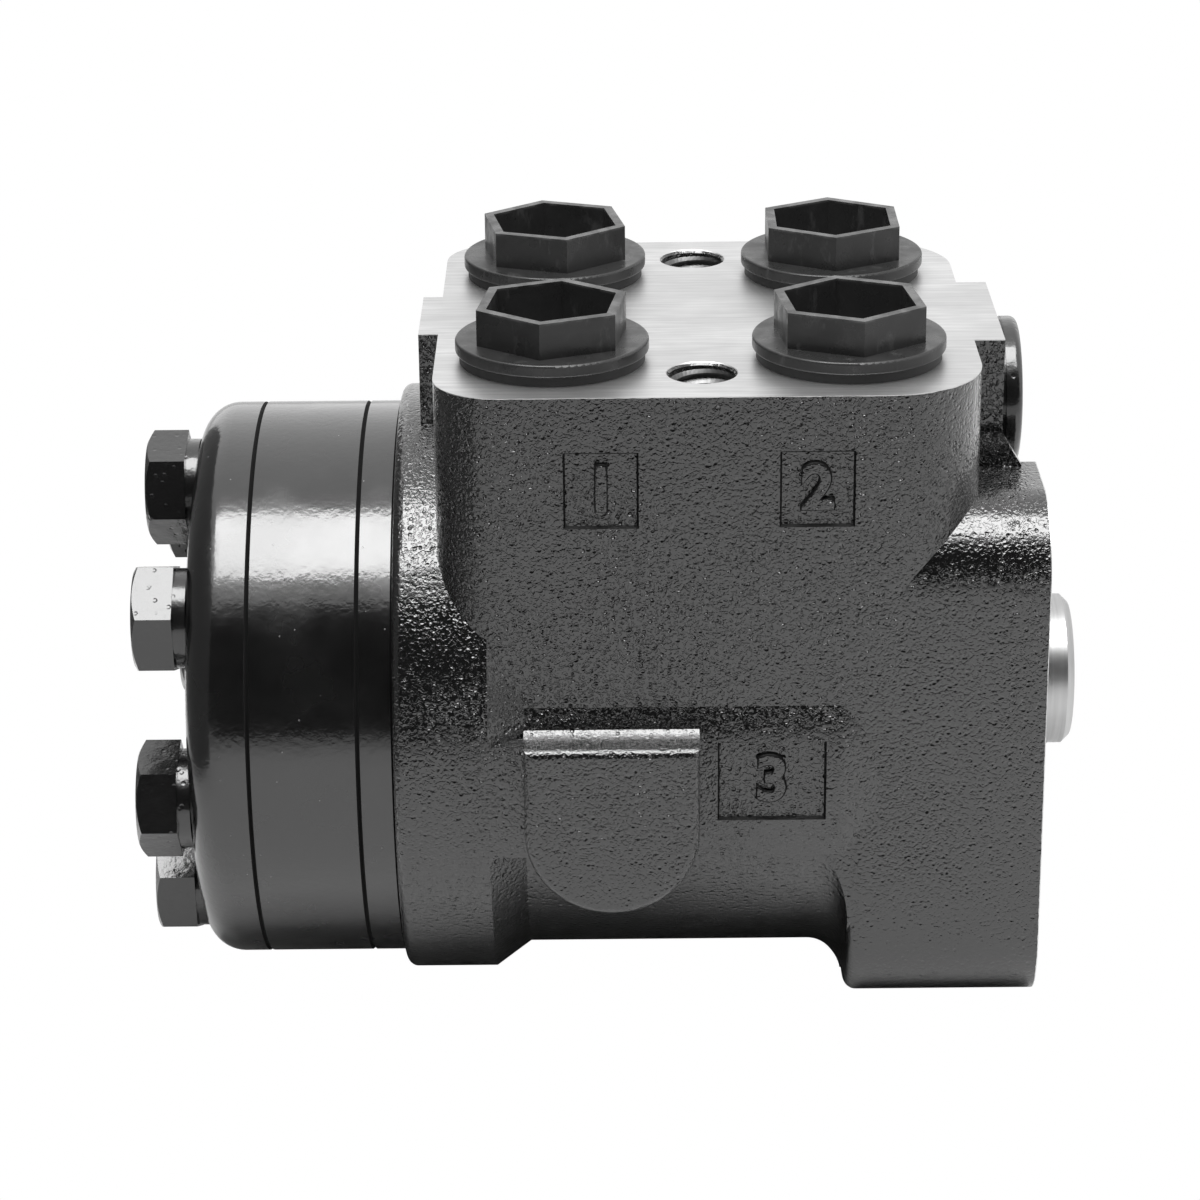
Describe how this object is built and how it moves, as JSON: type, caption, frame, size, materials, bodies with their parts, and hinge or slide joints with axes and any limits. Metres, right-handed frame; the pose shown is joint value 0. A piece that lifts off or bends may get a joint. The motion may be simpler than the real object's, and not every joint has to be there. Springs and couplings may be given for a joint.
{
  "type": "orbital steering unit",
  "caption": "Hydraulic orbital steering unit: cast housing with a port block, flanged gerotor metering set, rotary spool with splined socket, plugged ports.",
  "frame": {"origin": "centre of the steering column's mounting face, on the spool's axis", "axes": "+X along the spool's axis out of the column face, +Z out of the port face, the unit drawn with its ports up"},
  "size_m": [0.1489, 0.0969, 0.1184],
  "materials": {
    "cast_paint": "gloss black paint over a rough iron casting, bare ground metal on the port face and the column face",
    "smooth_paint": "gloss black paint over turned steel",
    "bolt_paint": "gloss black paint over forged steel",
    "seal_rubber": "matt",
    "hardened_steel": "ground",
    "spring_steel": "blued",
    "plated_steel": "zinc plated",
    "seal_metal": "dull",
    "bearing_plastic": "moulded nylon",
    "plug_plastic": "moulded, worn edges"
  },
  "bodies": {
    "casing": {"housing": "cast_paint", "distributor_plate": "smooth_paint", "stator_ring": "smooth_paint", "end_cover": "smooth_paint", "cover_bolts": "bolt_paint", "check_bolt": "bolt_paint", "bolt_washers": "bolt_paint", "face_seals": "seal_rubber", "bearing_outer_race": "hardened_steel", "bearing_inner_race": "hardened_steel", "thrust_needles": "hardened_steel", "needle_cage": "bearing_plastic", "shaft_seal": "seal_rubber", "dust_seal": "seal_rubber", "port_plugs": "plug_plastic", "plug_seals": "seal_rubber", "relief_plug": "bolt_paint", "relief_washer": "bolt_paint", "relief_adjuster": "plated_steel", "relief_spring": "spring_steel", "relief_seat": "hardened_steel", "check_bushing": "plated_steel"},
    "control_sleeve": {"sleeve": "hardened_steel", "cross_pin": "hardened_steel", "spring_ring": "spring_steel"},
    "control_spool": {"spool": "hardened_steel", "leaf_springs": "spring_steel"},
    "orbit_carrier": {"cardan_spacer": "hardened_steel"},
    "gear_rotor": {"rotor": "hardened_steel"},
    "drive_shaft": {"cardan_shaft": "hardened_steel"},
    "relief_valve": {"relief_poppet": "hardened_steel"},
    "check_valve": {"check_ball": "hardened_steel"}
  },
  "joints": [
    {"name": "sleeve_turn", "type": "hinge", "parent": "casing", "child": "control_sleeve", "pos_m": [0, 0, 0], "axis": [1, 0, 0], "continuous": true},
    {"name": "spool_deflection", "type": "hinge", "parent": "control_sleeve", "child": "control_spool", "pos_m": [0, 0, 0], "axis": [1, 0, 0], "range_deg": [-8, 8], "stiffness_Nm_per_rad": 5, "deforming": ["leaf_springs"]},
    {"name": "orbit", "type": "hinge", "parent": "casing", "child": "orbit_carrier", "pos_m": [0, 0, 0], "axis": [1, 0, 0], "continuous": true},
    {"name": "rotor_spin", "type": "hinge", "parent": "orbit_carrier", "child": "gear_rotor", "pos_m": [-0.1139, 0, 0.0032], "axis": [1, 0, 0], "continuous": true},
    {"name": "cardan_spin", "type": "hinge", "parent": "orbit_carrier", "child": "drive_shaft", "pos_m": [-0.038, 0, 0], "axis": [0.9991, 0, -0.0421], "continuous": true},
    {"name": "relief_lift", "type": "slide", "parent": "casing", "child": "relief_valve", "axis": [1, 0, 0], "range_m": [0, 0.0015], "stiffness_N_per_m": 4000, "deforming": ["relief_spring"]},
    {"name": "check_lift", "type": "slide", "parent": "casing", "child": "check_valve", "axis": [0, 0, 1], "range_m": [0, 0.0015]}
  ],
  "couplings": [
    {"joint": "orbit", "follows": "sleeve_turn", "ratio": -6},
    {"joint": "rotor_spin", "follows": "sleeve_turn", "ratio": 7},
    {"joint": "cardan_spin", "follows": "sleeve_turn", "ratio": 7}
  ]
}
